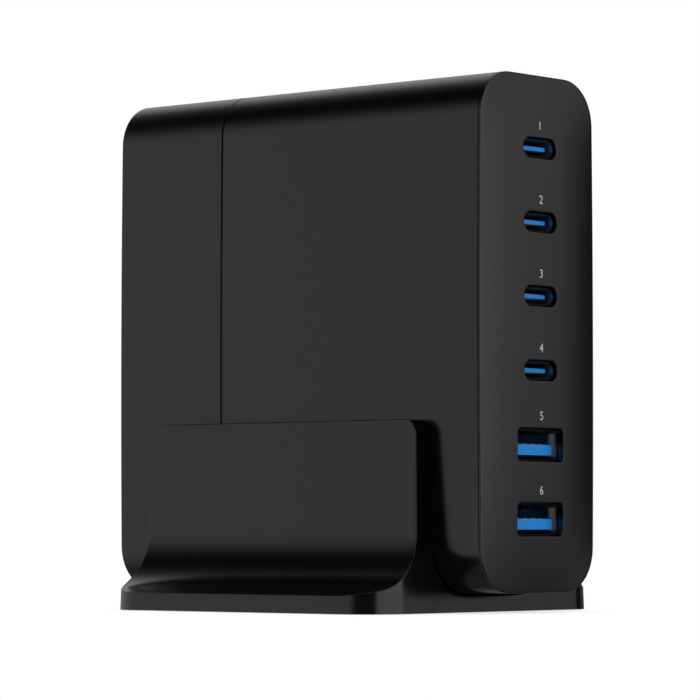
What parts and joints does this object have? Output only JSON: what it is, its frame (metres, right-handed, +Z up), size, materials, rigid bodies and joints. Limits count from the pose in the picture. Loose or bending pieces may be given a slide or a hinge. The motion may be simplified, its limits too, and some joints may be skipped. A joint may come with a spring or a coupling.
{
  "type": "multi port usb desktop charger",
  "caption": "Upright black slab charger in a flared two-wall cradle, with a column of USB-C and USB-A sockets in its pillowed front and a mains inlet at the rear.",
  "frame": {"origin": "on the table, under the middle of the charger", "axes": "+Z up, the sockets face -Y, the mains inlet faces +Y"},
  "size_m": [0.0644, 0.0862, 0.0935],
  "materials": {
    "housing_plastic": "black moulded polycarbonate, fine satin grain",
    "panel_plastic": "black moulded polycarbonate, smooth satin",
    "stand_plastic": "black moulded polycarbonate blend, fine satin grain",
    "foot_rubber": "black silicone pads",
    "socket_steel": "drawn steel under black nickel plating",
    "tongue_plastic": "blue moulded insulator",
    "contact_gold": "gold-flashed copper alloy",
    "inlet_plastic": "black moulded insert",
    "pin_nickel": "nickel-plated brass",
    "lead_insulation": "black sleeving over stranded wire",
    "circuit_board": "green solder mask over glass laminate",
    "chip_epoxy": "black moulding compound",
    "fuse_case": "dark moulded case",
    "varistor_coating": "blue dipped epoxy",
    "film_capacitor_case": "yellow moulded case",
    "ferrite": "sintered ferrite",
    "copper_winding": "enamelled copper wire",
    "thermal_pad": "soft silicone pad",
    "spreader_aluminium": "mill-finish sheet",
    "insulating_film": "amber polyester film",
    "capacitor_can": "sleeved aluminium can",
    "inductor_powder": "pressed metal powder"
  },
  "bodies": {
    "root": {"ac_inlet": "inlet_plastic", "ac_lead_line": "lead_insulation", "ac_lead_neutral": "lead_insulation", "ac_pin_line": "pin_nickel", "ac_pin_neutral": "pin_nickel", "boost_inductor_coil": "copper_winding", "boost_inductor_core": "ferrite", "boost_inductor_pad": "thermal_pad", "boost_switch": "chip_epoxy", "bridge_rectifier": "chip_epoxy", "bulk_capacitor_1": "capacitor_can", "bulk_capacitor_2": "capacitor_can", "choke_coils": "copper_winding", "choke_core": "ferrite", "front_panel": "panel_plastic", "half_bridge_switch": "chip_epoxy", "heat_spreader_left": "spreader_aluminium", "heat_spreader_right": "spreader_aluminium", "insulating_film": "insulating_film", "line_fuse": "fuse_case", "main_board": "circuit_board", "main_shell": "housing_plastic", "output_capacitor_1": "capacitor_can", "output_capacitor_2": "capacitor_can", "output_capacitor_3": "capacitor_can", "output_capacitor_4": "capacitor_can", "output_capacitor_5": "capacitor_can", "output_capacitor_6": "capacitor_can", "output_inductor_1": "inductor_powder", "output_inductor_2": "inductor_powder", "output_inductor_3": "inductor_powder", "output_inductor_4": "inductor_powder", "output_inductor_5": "inductor_powder", "output_inductor_6": "inductor_powder", "port_board": "circuit_board", "port_controller": "chip_epoxy", "rear_cover": "housing_plastic", "stand": "stand_plastic", "stand_feet": "foot_rubber", "transformer_coil": "copper_winding", "transformer_core": "ferrite", "transformer_pad": "thermal_pad", "usb_a_contacts": "contact_gold", "usb_a_shell_1": "socket_steel", "usb_a_shell_2": "socket_steel", "usb_a_tongue_1": "tongue_plastic", "usb_a_tongue_2": "tongue_plastic", "usb_c_contacts": "contact_gold", "usb_c_shell_1": "socket_steel", "usb_c_shell_2": "socket_steel", "usb_c_shell_3": "socket_steel", "usb_c_shell_4": "socket_steel", "usb_c_tongue_1": "tongue_plastic", "usb_c_tongue_2": "tongue_plastic", "usb_c_tongue_3": "tongue_plastic", "usb_c_tongue_4": "tongue_plastic", "varistor": "varistor_coating", "x_capacitor": "film_capacitor_case"}
  },
  "joints": []
}
